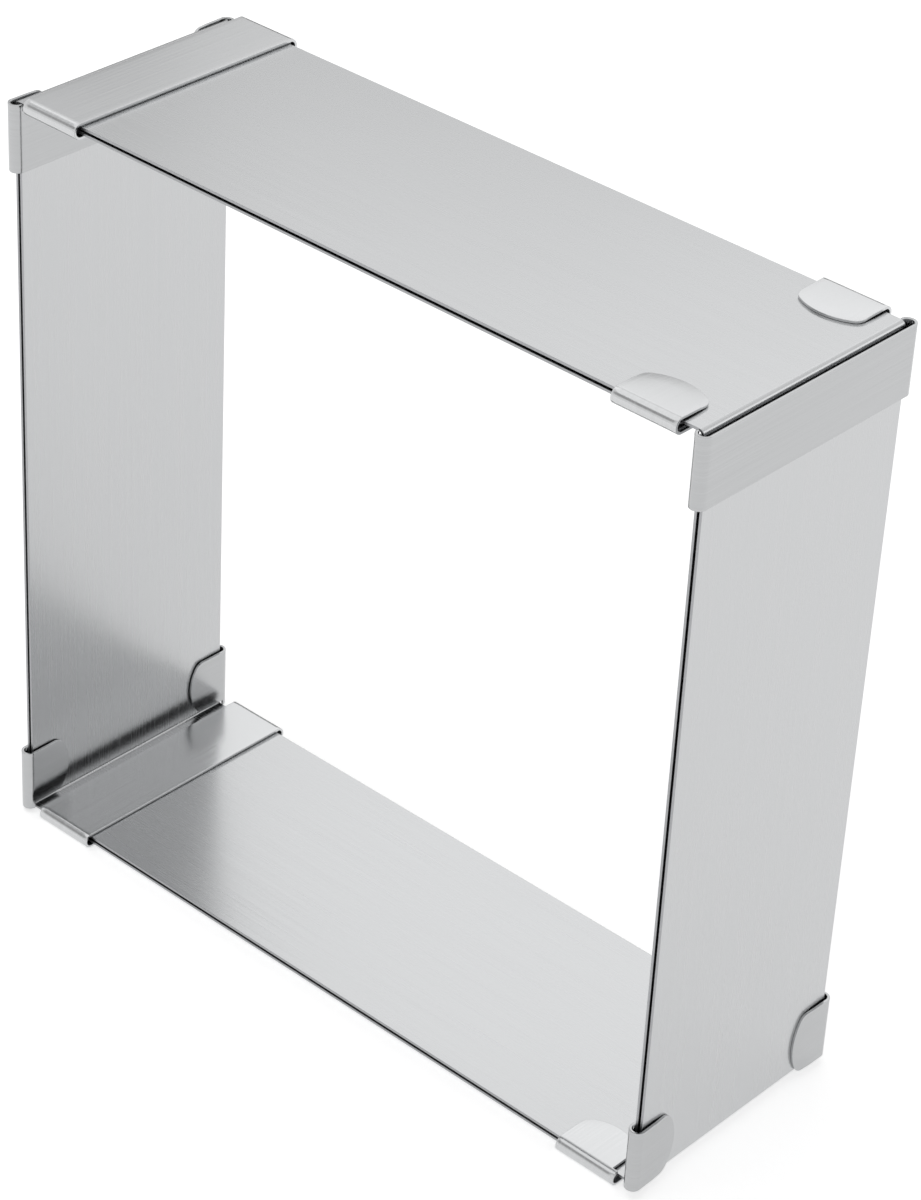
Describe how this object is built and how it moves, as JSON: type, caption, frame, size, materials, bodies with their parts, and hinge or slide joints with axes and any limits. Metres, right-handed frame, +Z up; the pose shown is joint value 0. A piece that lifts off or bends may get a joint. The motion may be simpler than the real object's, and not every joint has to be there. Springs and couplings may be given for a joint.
{
  "type": "adjustable baking frame",
  "caption": "Square sheet-steel baking frame of bent angles that slide in folded edge clips, so that its length and width can be set.",
  "frame": {"origin": "middle of the box round the object, on the surface it stands on", "axes": "+X along the width, +Y along the opening to the back, +Z up"},
  "size_m": [0.1568, 0.0536, 0.1527],
  "materials": {
    "sheet_steel": "satin, grain along each leg",
    "clip_steel": "satin, grain across the sheets"
  },
  "bodies": {
    "bottom_left": {"angle_bottom_left": "sheet_steel", "clip_bottom_outer": "clip_steel", "clip_left_inner": "clip_steel"},
    "bottom_right": {"angle_bottom_right": "sheet_steel", "clip_right_outer": "clip_steel", "clip_bottom_inner": "clip_steel"},
    "top_left": {"angle_top_left": "sheet_steel", "clip_left_outer": "clip_steel", "clip_top_inner": "clip_steel"},
    "top_right": {"angle_top_right": "sheet_steel", "clip_top_outer": "clip_steel", "clip_right_inner": "clip_steel"}
  },
  "joints": [
    {"name": "width_slide", "type": "slide", "parent": "bottom_left", "child": "bottom_right", "axis": [1, 0, 0], "range_m": [-0.001, 0.119]},
    {"name": "height_slide", "type": "slide", "parent": "bottom_left", "child": "top_left", "axis": [0, 0, 1], "range_m": [0, 0.123]},
    {"name": "top_slide", "type": "slide", "parent": "top_left", "child": "top_right", "axis": [1, 0, 0], "range_m": [-0.001, 0.119]}
  ],
  "couplings": [
    {"joint": "top_slide", "follows": "width_slide", "ratio": 1}
  ]
}
